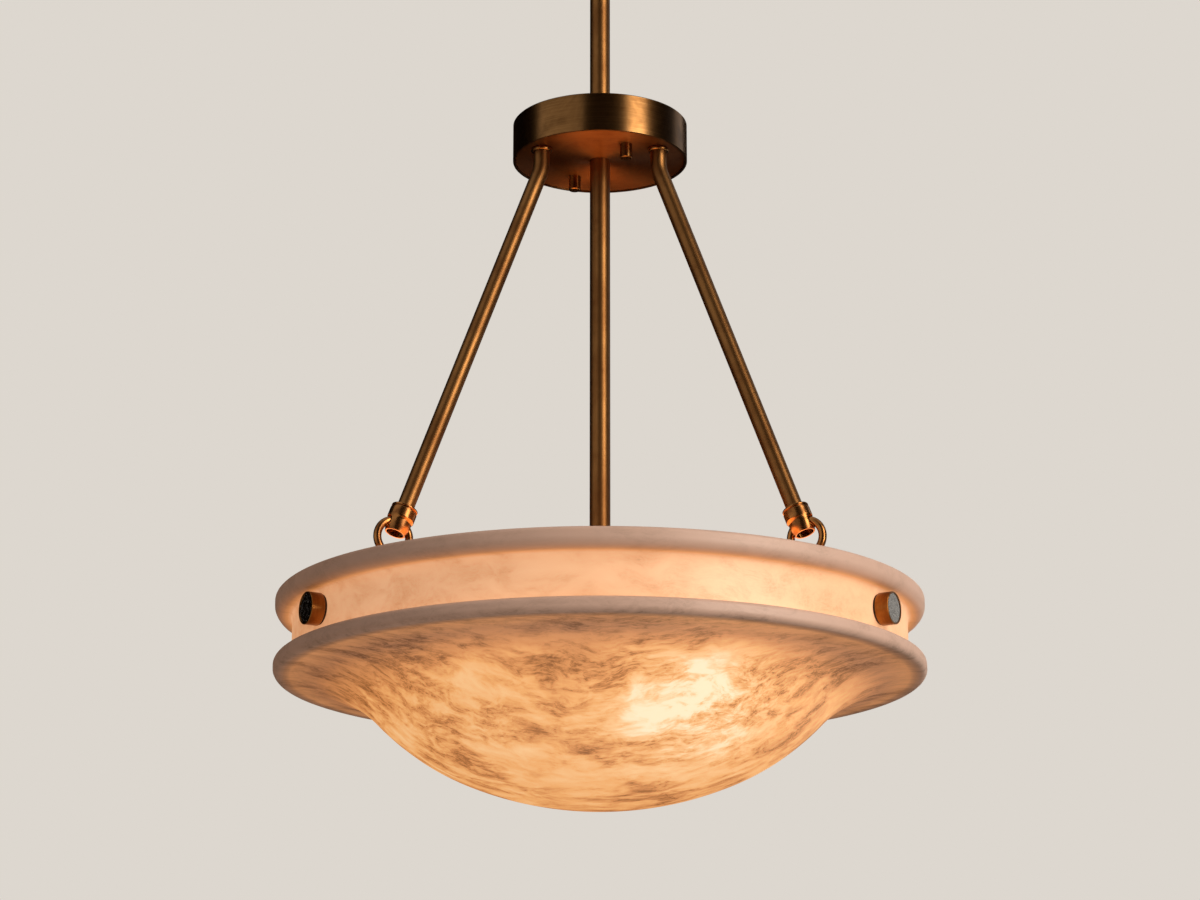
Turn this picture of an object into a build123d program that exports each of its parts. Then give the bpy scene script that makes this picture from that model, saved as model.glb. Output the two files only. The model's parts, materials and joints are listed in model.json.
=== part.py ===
"""Alabaster bowl pendant: a carved stone bowl hung by three link rings from a brass hub and stem.

Millimetres, +Z up. The origin is on the ceiling, at the middle of the canopy. X runs to the right of the
pendant's front, and -Y is the front. Every piece on a radius is drawn in the XZ plane, with +X outwards,
and is then turned about Z to its own angle.
"""
import os
from math import asin, atan2, cos, degrees, hypot, radians, sin, sqrt

from build123d import *

# ---- drop and directions ----------------------------------------------------------------------------
hub_drop = 222.0            # ceiling to the underside of the hub
socket_lip_drop = 336.1     # underside of the hub to the open mouths of the arms' end sockets
bowl_below_ring = 31.55     # ring centre to the bowl's top face
cluster_depth = 34.0        # bowl's top face to the top of the lamp cluster
arm_angles = {"left": 210.0, "right": 330.0, "rear": 90.0}
lamp_angles = {"front": 315.0, "left": 195.0, "rear": 75.0}
cap_nut_angle = 120.0       # the cap nuts stand on this line through the axis, on hub and canopy alike

# ---- fits -------------------------------------------------------------------------------------------
running_gap = 0.08          # radial, a turning fit
moving_gap = 0.35           # between pieces that move past each other
seat_gap = 0.15             # under a knob or flange that turns on its seat
thread_gap = 0.05           # radial, a thread drawn plain
bolt_gap = 0.3              # radial, a bolt in a clear hole
end_gap = 0.8               # between the end of a stud or bolt and the floor of its blind hole
thread_end = 1.0            # what shows of a thread past its nut or wall
bead_share = 0.45           # share of a bead's height that each of its edges is rounded by
nut_slope = 0.5             # height over width of a nut's turned-back corners

# ---- canopy and hub: the same drum, one on the ceiling and one below it -------------------------------
drum_r = 71.3
drum_height = 31.75
drum_wall = 2.0
drum_bevel = 0.9
cap_nut_circle_r = 42.0
cap_nut_d = 10.0
cap_nut_length = 12.0
cap_nut_floor = 3.0
cap_nut_chamfer = 0.6
stud_d = 4.8
stud_recess = 1.0           # canopy stud's top end, below the ceiling

strap_thickness = 2.5
strap_width = 20.0
box_strap_length = 112.0
stud_strap_length = 104.0
box_hole_spacing = 88.9     # outlet box screws, 3 1/2 in
box_slot_length = 12.0
box_slot_width = 4.8
strap_bore_r = 6.0
eyelet_wall = 0.8
eyelet_flange = 2.2
ground_screw_d = 4.0
ground_screw_head_d = 7.5
ground_screw_head_height = 2.4
ground_screw_x = 22.0

hub_plate_thickness = 2.0
hub_plate_inset = 1.0
hub_bar_thickness = 3.0
hub_bar_length = 108.0
hub_bar_width = 22.0
lock_nut_flats = 22.0
lock_nut_height = 5.0

# ---- swivel and stem --------------------------------------------------------------------------------
ball_r = 15.0
ball_wire_bore_r = 4.5
ball_flat = 1.5
ball_shoulder = 0.2         # ball's flat to the stem's end
ball_hold = 2.5             # how far the washer's throat is smaller than the ball, radial
washer_wall = 1.2           # outside the ball, radial
washer_flange = 3.8         # outside the washer's wall, radial
washer_flange_height = 3.0
washer_lip = 0.5            # cylindrical lip below the cup of the washer
stem_d = 16.5
stem_wall = 1.7
nipple_wall = 2.0
nipple_grip = 22.0          # how far a nipple screws into a stem
stem_ring_d = 18.2
stem_ring_height = 1.4

# ---- arms, end sockets and rings --------------------------------------------------------------------
arm_d = 13.2
arm_wall = 1.6
arm_top_r = 54.6
arm_bend_drop = 16.6        # hub underside to the corner of the arm's centreline
arm_bend_r = 30.0
arm_nipple_grip = 7.0
arm_nut_flats = 14.0
arm_nut_height = 4.0
arm_nipple_bore_r = 3.4
collar_d = 17.0
collar_height = 3.0

socket_lip_inset = 47.2     # middle of the socket's open mouth, inside the neck's inner wall
socket_bore_gap = 0.25      # bore of the socket outside the arm, radial
socket_wall = 2.65
mouth_inset = 1.4           # mouth inside the body, radial
mouth_height = 5.4          # height over which the mouth narrows
mouth_round = 14.0
lip_round = 0.4
body_height = 10.0          # with the mouth
band_thickness = 1.0        # band outside the body, radial
band_shoulder_height = 1.9  # slope from the body out to the band
band_shoulder_round = 2.4
band_height = 7.6           # above its shoulder
groove_inset = 0.3          # groove inside the body, radial
socket_groove_height = 1.1
bead_thickness = 0.9        # bead outside the body, radial
bead_height = 1.7
socket_edge = 0.7
ring_wire_d = 6.2
ring_play = 2.2             # inside of the ring outside the socket's mouth, radial
ring_below_lip = 3.6        # ring centre below the mouth, on the socket's axis
ring_slot_room = 1.3        # each side of the wire
ring_slot_margin = 0.8      # ring's slot, outside the mouth's corner
arm_above_ring = 0.8        # arm's end above the top of the ring

# ---- bowl -------------------------------------------------------------------------------------------
bowl_d = 508.0
bowl_depth = 160.5
bowl_wall = 13.0
neck_inset = 14.0           # neck inside the lower flange, radial
top_flange_inset = 0.5      # top flange inside the lower flange, radial
top_flange_height = 15.0
groove_height = 35.0
low_flange_height = 12.0
belly_r = 278.0             # at the bottom
shoulder_r = 201.0          # where the belly turns up
shoulder_angle = 23.0       # from the axis, where one radius takes over from the other
cove_inset = 7.0            # flat under the flange before the cove starts
low_flange_round = 4.0
low_flange_under_round = 5.0
top_flange_round = 8.0
rim_round = 3.0
mouth_edge_round = 4.0
inner_edge_round = 6.0
neck_fillet = 3.0
bolt_drop = 31.0            # bowl's top face to the bolt holes

# ---- bolts, knobs and hangers -----------------------------------------------------------------------
bolt_d = 6.0
bolt_hole_d = 8.0
gasket_thickness = 1.2
gasket_d = 23.0
flat_washer_d = 18.0
flat_washer_thickness = 1.2
bolt_nut_flats = 10.0
bolt_nut_height = 5.0
bolt_tail = 2.5
knob_d = 24.8
knob_length = 10.8
knob_bore_depth = 7.2
knob_rim = 1.3
knob_edge = 0.5
face_thickness = 1.2
face_inset = 0.4
hanger_thickness = 3.0
hanger_width = 20.0
hanger_bend_r = 8.0
hanger_foot = 12.5          # below the bolt
hanger_end_flat = 0.5       # half of what stays straight on the strap's ends
hanger_knee_drop = 13.0     # outer bend, below the bowl's top face
hanger_shin_rise = 2.0      # inner bend, above the bowl's top face
tab_hole_d = 9.6
tab_land = 4.0              # metal above the hole
link_lift = 0.8             # room above the wire in the tab's hole

# ---- lamps ------------------------------------------------------------------------------------------
cluster_r = 21.0
cluster_height = 42.0
cluster_wall = 3.0
cluster_edge = 2.7
cluster_cap_height = 9.0
cluster_plug_height = 4.5
cluster_nut_flats = 24.0
lamp_drop = 22.0            # cluster top to the lamp axes
side_nipple_d = 10.0
side_nipple_bore_d = 6.4
side_nipple_grip = 4.0
holder_gap = 2.0            # cluster to lampholder
holder_d = 34.0
holder_length = 40.0
holder_back = 8.0
holder_rim = 2.5
cap_shell_d = 26.2          # screw shell of a medium-base lamp
cap_shell_length = 20.0
cap_thread_depth = 0.7
cap_thread_pitch = 3.6
cap_plain_length = 2.0      # at each end of the thread
cap_insulator_inset = 2.0   # insulator inside the shell, radial
cap_tip_d = 9.0
cap_tip_edge = 1.0
cap_tip_length = 4.0
bulb_d = 48.0
bulb_length = 64.0          # glass alone
bulb_neck_inset = 0.6       # glass inside the shell, radial
bulb_neck_length = 7.0
bulb_neck_round = 19.0

# ---- places worked out from the sizes ---------------------------------------------------------------
hub_z = -hub_drop
hub_top_z = hub_z + drum_height
plate_z = hub_z + hub_plate_inset
plate_top_z = plate_z + hub_plate_thickness
drum_inside = drum_height - drum_wall
bar_z = hub_z + drum_inside - hub_bar_thickness
canopy_z = -drum_height
canopy_floor_z = canopy_z + drum_wall

stem_bore_r = stem_d / 2 - stem_wall
nipple_r = stem_bore_r - thread_gap
cup_r = ball_r + moving_gap
throat_r = ball_r - ball_hold
washer_r = ball_r + washer_wall
ball_z = canopy_z + washer_lip + sqrt(cup_r**2 - throat_r**2)
stem_top_z = ball_z - sqrt(ball_r**2 - (stem_d / 2) ** 2) - ball_shoulder

bowl_r = bowl_d / 2
neck_r = bowl_r - neck_inset
bowl_inner_r = neck_r - bowl_wall
top_flange_r = bowl_r - top_flange_inset

socket_bore_r = arm_d / 2 + socket_bore_gap
socket_body_r = socket_bore_r + socket_wall
mouth_r = socket_body_r - mouth_inset
ring_inner_r = mouth_r + ring_play
wire_r = ring_wire_d / 2
ring_r = ring_inner_r + wire_r              # centreline of the wire
lip_r = bowl_inner_r - socket_lip_inset
lip_z = hub_z - socket_lip_drop
arm_corner_z = hub_z - arm_bend_drop
arm_tilt = atan2(lip_r - arm_top_r, arm_corner_z - lip_z)
arm_end_up = ring_r + wire_r - ring_below_lip + arm_above_ring      # above the mouth, along the socket
arm_top_z = plate_z - collar_height
arm_nipple_r = arm_d / 2 - arm_wall - thread_gap
ring_x = lip_r + ring_below_lip * sin(arm_tilt)
ring_z = lip_z - ring_below_lip * cos(arm_tilt)

bowl_z = ring_z - bowl_below_ring
bolt_z = bowl_z - bolt_drop
cluster_z = bowl_z - cluster_depth
lamp_z = cluster_z - lamp_drop
holder_back_r = cluster_r + holder_gap
stem_end_z = cluster_z - cluster_wall - lock_nut_height - thread_end
top_flange_z = bowl_z - top_flange_height
low_flange_z = top_flange_z - groove_height
low_flange_under_z = low_flange_z - low_flange_height
bowl_bottom_z = bowl_z - bowl_depth

neck_sag = gasket_d**2 / 8 / bowl_inner_r           # the neck's inner wall curves by this across a gasket
seat_x = bowl_inner_r - gasket_thickness - neck_sag # flat inner face of the inside gasket
hanger_x = seat_x - hanger_thickness / 2            # middle of the hanger's foot
bolt_head_x = neck_r + gasket_thickness             # flat outer face of the outside gasket
nut_x = seat_x - hanger_thickness - flat_washer_thickness
bolt_in_x = nut_x - bolt_nut_height - bolt_tail
knob_x = bolt_head_x + seat_gap
bolt_out_x = knob_x + knob_bore_depth - end_gap
tab_top_of_hole_z = ring_z - ring_r + wire_r + link_lift
tab_hole_z = tab_top_of_hole_z - tab_hole_d / 2
tab_top_z = tab_top_of_hole_z + tab_land

made = {}


def keep(name, *solids):
    """Files the solids as one named piece, or as one named group of alike pieces."""
    made[name] = solids[0] if len(solids) == 1 else Compound(children=list(solids))


def around(angle, shape):
    """Turns a shape drawn on +X to its angle about the pendant's axis."""
    return Rot(0, 0, angle) * shape


def turned(*points):
    """A turned piece about Z, from (radius, height) corners."""
    return revolve(Plane.XZ * make_face(Polyline(*points, close=True)), Axis.Z)


def tube(outer_r, inner_r, low_z, high_z):
    return turned((inner_r, low_z), (outer_r, low_z), (outer_r, high_z), (inner_r, high_z))


def rod(radius, low_z, high_z):
    on_its_end = (Align.CENTER, Align.CENTER, Align.MIN)
    return Pos(0, 0, low_z) * Cylinder(radius, high_z - low_z, align=on_its_end)


def hex_nut(flats, bore_r, low_z, height):
    """A hexagon nut with both faces turned back at the corners."""
    blank = extrude(RegularPolygon(flats / 2, 6, major_radius=False), height)
    corner_r = flats / sqrt(3)
    turn_back = corner_r - flats / 2
    cone = turned((0, 0), (flats / 2, 0), (corner_r, turn_back * nut_slope),
                  (corner_r, height - turn_back * nut_slope), (flats / 2, height), (0, height))
    return Pos(0, 0, low_z) * ((blank & cone) - rod(bore_r, 0, height))


def on_radius(x, z, shape):
    """Lays a piece turned about Z along +X, with its zero at x and its axis at height z."""
    return Pos(x, 0, z) * (Rot(0, 90, 0) * shape)


def on_arm(shape):
    """Stands a piece turned about Z on the socket's mouth, along the arm."""
    return Pos(lip_r, 0, lip_z) * (Rot(0, -degrees(arm_tilt), 0) * shape)


def cap_nut(high_z):
    """A plain cylindrical cap nut that hangs below high_z, threaded from above."""
    low_z = high_z - cap_nut_length
    blank = chamfer(rod(cap_nut_d / 2, low_z, high_z).edges().group_by(Axis.Z)[0], cap_nut_chamfer)
    return blank - rod(stud_d / 2 + thread_gap, low_z + cap_nut_floor, high_z)


def pair_on_cap_nut_line(shape):
    return [around(cap_nut_angle + turn, Pos(cap_nut_circle_r, 0, 0) * shape) for turn in (0, 180)]


def drum(bore_r):
    """The shell that canopy and hub share: a bored floor at z 0, a bevelled edge and a wall that rises."""
    wall = drum_wall
    return turned((bore_r, 0), (drum_r - drum_bevel, 0), (drum_r, drum_bevel), (drum_r, drum_height),
                  (drum_r - wall, drum_height), (drum_r - wall, wall), (bore_r, wall))


def flat_strap(length, width, thickness, bore_r):
    """A bar with rounded ends and a middle bore, from z 0 downwards."""
    outline = SlotOverall(length, width) - Circle(bore_r)
    return extrude(outline, -thickness)


def rounded(outline, *corners):
    """Rounds chosen corners of a flat outline: each one is (x, y, radius)."""
    for x, y, radius in corners:
        outline = fillet(outline.vertices().sort_by_distance((x, y, 0))[0], radius)
    return outline


def bead(inner_r, outer_r, low_z, high_z):
    """A ring about Z with both outer edges rounded."""
    edge = (high_z - low_z) * bead_share
    flat = make_face(Polyline((inner_r, low_z), (outer_r, low_z), (outer_r, high_z), (inner_r, high_z),
                              close=True))
    return revolve(Plane.XZ * rounded(flat, (outer_r, low_z, edge), (outer_r, high_z, edge)), Axis.Z)


# ---- ceiling fixing and canopy ----------------------------------------------------------------------
def ceiling_fixing():
    outlet_slots = [Pos(side * box_hole_spacing / 2, 0) * SlotOverall(box_slot_length, box_slot_width)
                    for side in (-1, 1)]
    outline = SlotOverall(box_strap_length, strap_width) - Circle(strap_bore_r) - outlet_slots
    outline -= Pos(ground_screw_x, 0) * Circle(ground_screw_d / 2 + thread_gap)
    keep("box_strap", extrude(outline, -strap_thickness))

    low_z = -2 * strap_thickness
    bar = Pos(0, 0, -strap_thickness) * flat_strap(stud_strap_length, strap_width, strap_thickness,
                                                   strap_bore_r)
    tapped = rod(stud_d / 2 + thread_gap, low_z, -strap_thickness)
    keep("stud_strap", around(cap_nut_angle, bar) - pair_on_cap_nut_line(tapped))

    hole_r = strap_bore_r - thread_gap
    keep("strap_eyelet", turned((hole_r - eyelet_wall, 0), (hole_r, 0), (hole_r, low_z),
                                (hole_r + eyelet_flange, low_z),
                                (hole_r + eyelet_flange, low_z - eyelet_wall),
                                (hole_r - eyelet_wall, low_z - eyelet_wall)))

    head = extrude(RegularPolygon(ground_screw_head_d / 2, 6), -ground_screw_head_height)
    keep("ground_screw", Pos(ground_screw_x, 0, 0) * (Pos(0, 0, -strap_thickness) * head
                                                      + rod(ground_screw_d / 2, -strap_thickness, 0)))


def canopy():
    stud_holes = pair_on_cap_nut_line(rod(stud_d / 2 + moving_gap, canopy_z, canopy_floor_z))
    keep("canopy", Pos(0, 0, canopy_z) * drum(washer_r + moving_gap) - stud_holes)
    stud_end_z = canopy_z - cap_nut_length + cap_nut_floor + end_gap
    keep("canopy_studs", *pair_on_cap_nut_line(rod(stud_d / 2, stud_end_z, -stud_recess)))
    keep("canopy_cap_nuts", *pair_on_cap_nut_line(cap_nut(canopy_z)))


# ---- swivel and stems -------------------------------------------------------------------------------
def swivel():
    flange_z = canopy_floor_z + seat_gap
    flange_r = washer_r + washer_flange
    bush = turned((throat_r, canopy_z), (washer_r, canopy_z), (washer_r, flange_z), (flange_r, flange_z),
                  (flange_r, flange_z + washer_flange_height), (throat_r, flange_z + washer_flange_height))
    keep("swivel_washer", bush - Pos(0, 0, ball_z) * Sphere(cup_r))

    spigot_z = stem_top_z - nipple_grip
    ball = Pos(0, 0, ball_z) * Sphere(ball_r) & rod(2 * ball_r, stem_top_z, ball_z + ball_r - ball_flat)
    ball += rod(nipple_r, spigot_z, stem_top_z)
    keep("swivel_ball", ball - rod(ball_wire_bore_r, spigot_z, ball_z + ball_r))


def stems():
    ring_top_z = hub_top_z + stem_ring_height
    keep("upper_stem", tube(stem_d / 2, stem_bore_r, ring_top_z, stem_top_z))

    keep("stem_ring", bead(stem_bore_r, stem_ring_d / 2, hub_top_z, ring_top_z))
    keep("stem_nipple", tube(nipple_r, nipple_r - nipple_wall, plate_z - nipple_grip,
                             ring_top_z + nipple_grip))
    keep("lock_nuts", *[hex_nut(lock_nut_flats, nipple_r, low_z, lock_nut_height)
                        for low_z in (bar_z - lock_nut_height, plate_top_z)])
    keep("lower_stem", tube(stem_d / 2, stem_bore_r, stem_end_z, plate_z))


# ---- hub --------------------------------------------------------------------------------------------
def hub():
    keep("hub_shell", Pos(0, 0, hub_top_z) * (Rot(180, 0, 0) * drum(nipple_r + thread_gap)))

    bar = Pos(0, 0, bar_z + hub_bar_thickness) * flat_strap(hub_bar_length, hub_bar_width,
                                                            hub_bar_thickness, nipple_r + thread_gap)
    tapped = rod(stud_d / 2 + thread_gap, bar_z, bar_z + hub_bar_thickness)
    keep("hub_bar", around(cap_nut_angle, bar) - pair_on_cap_nut_line(tapped))

    disc_r = drum_r - drum_wall - moving_gap
    disc = tube(disc_r, nipple_r + thread_gap, plate_z, plate_top_z)
    arm_hole = Pos(arm_top_r, 0, 0) * rod(arm_nipple_r + thread_gap, plate_z, plate_top_z)
    disc -= [around(angle, arm_hole) for angle in arm_angles.values()]
    keep("hub_plate", disc - pair_on_cap_nut_line(rod(stud_d / 2 + moving_gap, plate_z, plate_top_z)))

    stud_end_z = plate_z - cap_nut_length + cap_nut_floor + end_gap
    keep("hub_studs", *pair_on_cap_nut_line(rod(stud_d / 2, stud_end_z, bar_z + hub_bar_thickness)))
    keep("hub_cap_nuts", *pair_on_cap_nut_line(cap_nut(plate_z)))


# ---- arms, end sockets and link rings ---------------------------------------------------------------
def arm():
    """A tube that leaves the hub square, bends once and runs straight into its end socket."""
    end = (lip_r - arm_end_up * sin(arm_tilt), 0, lip_z + arm_end_up * cos(arm_tilt))
    path = FilletPolyline((arm_top_r, 0, arm_top_z), (arm_top_r, 0, arm_corner_z), end, radius=arm_bend_r)
    wall = Circle(arm_d / 2) - Circle(arm_d / 2 - arm_wall)
    return sweep(Plane(origin=path @ 0, z_dir=path % 0) * wall, path=path)


def end_socket():
    """The turned socket on the arm's end: an open barrel with a band, groove and bead, cross-slotted."""
    bore, body = socket_bore_r, socket_body_r
    band, bead_r, groove = body + band_thickness, body + bead_thickness, body - groove_inset
    shoulder = body_height + band_shoulder_height
    band_top = shoulder + band_height
    groove_top = band_top + socket_groove_height
    top = groove_top + bead_height
    outline = make_face(Polyline(
        (bore, 0), (mouth_r, 0), (body, mouth_height), (body, body_height), (band, shoulder),
        (band, band_top), (groove, band_top), (groove, groove_top), (bead_r, groove_top), (bead_r, top),
        (arm_d / 2, top), (arm_d / 2, arm_end_up), (bore, arm_end_up), close=True))
    outline = rounded(outline, (mouth_r, 0, lip_round), (body, mouth_height, mouth_round),
                      (body, body_height, band_shoulder_round), (band, shoulder, band_shoulder_round),
                      (band, band_top, socket_edge), (bead_r, groove_top, socket_edge / 2),
                      (bead_r, top, socket_edge))
    blank = revolve(Plane.XZ * outline, Axis.Z)
    slot_low = sqrt(ring_inner_r**2 - (mouth_r + ring_slot_margin) ** 2) - ring_below_lip - moving_gap
    slot_high = sqrt((ring_r + wire_r) ** 2 - bore**2) - ring_below_lip + moving_gap
    slot = Plane.YZ * SlotOverall(slot_high - slot_low, ring_wire_d + 2 * ring_slot_room, rotation=90)
    through = extrude(slot, band, both=True)
    return on_arm(blank - Pos(0, 0, (slot_low + slot_high) / 2) * through)


def arms():
    keep("arm_nipples", *[around(angle, Pos(arm_top_r, 0, 0) * tube(
        arm_nipple_r, arm_nipple_bore_r, arm_top_z - arm_nipple_grip,
        plate_top_z + arm_nut_height + thread_end)) for angle in arm_angles.values()])
    keep("arm_nuts", *[around(angle, Pos(arm_top_r, 0, 0) * hex_nut(
        arm_nut_flats, arm_nipple_r, plate_top_z, arm_nut_height)) for angle in arm_angles.values()])
    collar = Pos(arm_top_r, 0, 0) * bead(arm_nipple_r, collar_d / 2, arm_top_z, plate_z)
    keep("arm_collars", *[around(angle, collar) for angle in arm_angles.values()])
    one_arm, one_socket = arm(), end_socket()
    one_ring = Pos(ring_x, 0, ring_z) * (Rot(90, 0, 0) * Torus(ring_r, wire_r))
    for side, angle in arm_angles.items():
        keep(f"arm_{side}", around(angle, one_arm))
        keep(f"end_socket_{side}", around(angle, one_socket))
        keep(f"ring_{side}", around(angle, one_ring))


# ---- bowl -------------------------------------------------------------------------------------------
def bowl():
    """The carved bowl: two flanges round a plain neck, an ogee cove under the lower one, a full belly.

    The outside belly has two radii. The cove is tangent to the shoulder and to the flat under the flange,
    and the inside follows all three arcs one wall in.
    """
    turn = radians(shoulder_angle)
    belly = (0, bowl_bottom_z + belly_r)
    shoulder = ((belly_r - shoulder_r) * sin(turn), belly[1] - (belly_r - shoulder_r) * cos(turn))
    cove_x = bowl_r - cove_inset
    across, rise = cove_x - shoulder[0], shoulder[1] - low_flange_under_z
    cove_r = (across**2 + rise**2 - shoulder_r**2) / (2 * (shoulder_r - rise))
    cove = (cove_x, low_flange_under_z - cove_r)
    meet = degrees(atan2(cove[0] - shoulder[0], shoulder[1] - cove[1]))
    inner_cove_r = cove_r + bowl_wall
    lean = degrees(asin((cove_x - bowl_inner_r) / inner_cove_r))
    inner_end = (bowl_inner_r, cove[1] + inner_cove_r * cos(radians(lean)))
    outline = [
        CenterArc(belly, belly_r, -90, shoulder_angle),
        CenterArc(shoulder, shoulder_r, -90 + shoulder_angle, meet - shoulder_angle),
        CenterArc(cove, cove_r, 90, meet),
        Polyline((cove_x, low_flange_under_z), (bowl_r, low_flange_under_z), (bowl_r, low_flange_z),
                 (neck_r, low_flange_z), (neck_r, top_flange_z), (top_flange_r, top_flange_z),
                 (top_flange_r, bowl_z), (bowl_inner_r, bowl_z), inner_end),
        CenterArc(cove, inner_cove_r, 90 + lean, meet - lean),
        CenterArc(shoulder, shoulder_r - bowl_wall, -90 + shoulder_angle, meet - shoulder_angle),
        CenterArc(belly, belly_r - bowl_wall, -90, shoulder_angle),
        Line((0, bowl_bottom_z + bowl_wall), (0, bowl_bottom_z)),
    ]
    profile = make_face([edge for part in outline for edge in part.edges()])
    profile = rounded(
        profile, (bowl_r, low_flange_under_z, low_flange_under_round),
        (bowl_r, low_flange_z, low_flange_round),
        (neck_r, low_flange_z, neck_fillet), (neck_r, top_flange_z, neck_fillet),
        (top_flange_r, top_flange_z, top_flange_round), (top_flange_r, bowl_z, rim_round),
        (bowl_inner_r, bowl_z, mouth_edge_round), (*inner_end, inner_edge_round))
    bolt_hole = on_radius(bowl_inner_r - bowl_wall, bolt_z, rod(bolt_hole_d / 2, 0, 3 * bowl_wall))
    return revolve(Plane.XZ * profile, Axis.Z) - [around(angle, bolt_hole) for angle in arm_angles.values()]


# ---- bolts, knobs and hangers -----------------------------------------------------------------------
def hanger():
    """A flat bar bolted inside the neck and bent in and up, so that its tab hangs on the ring."""
    path = FilletPolyline((hanger_x, bolt_z - hanger_foot), (hanger_x, bowl_z - hanger_knee_drop),
                          (ring_x, bowl_z + hanger_shin_rise), (ring_x, tab_top_z), radius=hanger_bend_r)
    bar = extrude(Plane.XZ * trace(path, hanger_thickness), hanger_width / 2, both=True)
    bar = fillet(bar.edges().filter_by(Axis.X), hanger_width / 2 - hanger_end_flat)
    through = 2 * hanger_thickness
    bolt_hole = on_radius(hanger_x - hanger_thickness, bolt_z, rod(bolt_d / 2 + bolt_gap, 0, through))
    tab_hole = on_radius(ring_x - hanger_thickness, tab_hole_z, rod(tab_hole_d / 2, 0, through))
    return bar - bolt_hole - tab_hole


def knob():
    """A turned knob with a blind threaded bore behind and a shallow seat for its face disc in front."""
    outer, bore = knob_d / 2, bolt_d / 2 + running_gap
    seat = knob_length - face_thickness - face_inset
    return on_radius(knob_x, bolt_z, turned(
        (bore, 0), (outer - knob_edge, 0), (outer, knob_edge), (outer, knob_length - knob_edge / 2),
        (outer - knob_edge / 2, knob_length), (outer - knob_rim, knob_length), (outer - knob_rim, seat),
        (0, seat), (0, knob_bore_depth), (bore, knob_bore_depth)))


def knob_face():
    disc_r, seat = knob_d / 2 - knob_rim - thread_gap, knob_length - face_thickness - face_inset
    disc = chamfer(rod(disc_r, seat, seat + face_thickness).edges().group_by(Axis.Z)[-1], face_inset / 2)
    return on_radius(knob_x, bolt_z, disc)


def bowl_and_fixings():
    keep("bowl", bowl())
    bolt = on_radius(bolt_in_x, bolt_z, rod(bolt_d / 2, 0, bolt_out_x - bolt_in_x))
    neck_inside = rod(bowl_inner_r, bolt_z - gasket_d, bolt_z + gasket_d)
    neck_outside = rod(neck_r, bolt_z - gasket_d, bolt_z + gasket_d)
    blank = rod(gasket_d / 2, 0, 2 * gasket_thickness)
    fixings = {
        "knob_bolts": bolt,
        "outer_gaskets": on_radius(neck_r - gasket_thickness, bolt_z, blank) - neck_outside - bolt,
        "inner_gaskets": (on_radius(seat_x, bolt_z, blank) & neck_inside) - bolt,
        "flat_washers": on_radius(nut_x, bolt_z, tube(flat_washer_d / 2, bolt_d / 2, 0,
                                                      flat_washer_thickness)),
        "bolt_nuts": on_radius(nut_x - bolt_nut_height, bolt_z, hex_nut(bolt_nut_flats, bolt_d / 2, 0,
                                                                       bolt_nut_height)),
    }
    for name, piece in fixings.items():
        keep(name, *[around(angle, piece) for angle in arm_angles.values()])
    one_hanger, one_knob, one_face = hanger(), knob(), knob_face()
    for side, angle in arm_angles.items():
        keep(f"hanger_{side}", around(angle, one_hanger))
        keep(f"knob_{side}", around(angle, one_knob))
        keep(f"knob_face_{side}", around(angle, one_face))


# ---- lamp cluster and lamps -------------------------------------------------------------------------
def cluster():
    low_z = cluster_z - cluster_height
    inside_r = cluster_r - cluster_wall
    profile = make_face(Polyline(
        (stem_d / 2, cluster_z), (cluster_r, cluster_z), (cluster_r, low_z), (inside_r, low_z),
        (inside_r, cluster_z - cluster_wall), (stem_d / 2, cluster_z - cluster_wall), close=True))
    can = revolve(Plane.XZ * rounded(profile, (cluster_r, cluster_z, cluster_edge)), Axis.Z)
    tapped = on_radius(0, lamp_z, rod(side_nipple_d / 2 + thread_gap, 0, holder_back_r))
    keep("cluster_body", can - [around(angle, tapped) for angle in lamp_angles.values()])
    keep("cluster_nut", hex_nut(cluster_nut_flats, stem_d / 2, cluster_z - cluster_wall - lock_nut_height,
                                lock_nut_height))

    plug_r = inside_r - thread_gap
    dome_r = (cluster_r**2 + cluster_cap_height**2) / (2 * cluster_cap_height)
    dome_span = degrees(asin(cluster_r / dome_r))
    plug_z = low_z + cluster_plug_height
    dome = make_face([
        *Polyline((0, low_z - cluster_cap_height), (0, plug_z), (plug_r, plug_z), (plug_r, low_z),
                  (cluster_r, low_z)).edges(),
        *CenterArc((0, low_z - cluster_cap_height + dome_r), dome_r, -90, dome_span).edges()])
    keep("cluster_cap", revolve(Plane.XZ * dome, Axis.Z))

    nipple_start = inside_r - thread_end
    side_nipple = on_radius(nipple_start, lamp_z, tube(
        side_nipple_d / 2, side_nipple_bore_d / 2, 0, holder_back_r + side_nipple_grip - nipple_start))
    keep("side_nipples", *[around(angle, side_nipple) for angle in lamp_angles.values()])


def lampholder():
    outer, bore = holder_d / 2, cap_shell_d / 2 + moving_gap
    entry = side_nipple_d / 2 + thread_gap
    return on_radius(holder_back_r, lamp_z, turned(
        (0, side_nipple_grip), (entry, side_nipple_grip), (entry, 0), (outer - holder_rim, 0),
        (outer - holder_rim / 2, holder_rim), (outer - holder_rim / 2, holder_length - 2 * holder_rim),
        (outer, holder_length - 2 * holder_rim), (outer, holder_length), (bore, holder_length),
        (bore, holder_back), (0, holder_back)))


def lamp_cap():
    """The lamp's metal cap: contact tip, insulator cone and a screw shell with rolled threads."""
    shell_r, start, end = cap_shell_d / 2, cap_tip_length, cap_tip_length + cap_shell_length
    root_r = shell_r - cap_thread_depth
    crests = []
    for turn in range(int((cap_shell_length - 2 * cap_plain_length) / cap_thread_pitch)):
        low = start + cap_plain_length + turn * cap_thread_pitch
        crests += [(root_r, low), (shell_r, low + cap_thread_pitch / 2)]
    return turned((0, 0), (cap_tip_d / 2 - cap_tip_edge, 0), (cap_tip_d / 2, cap_tip_edge),
                  (shell_r - cap_insulator_inset, start), *crests, (root_r, end - cap_plain_length),
                  (root_r, end), (0, end))


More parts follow.
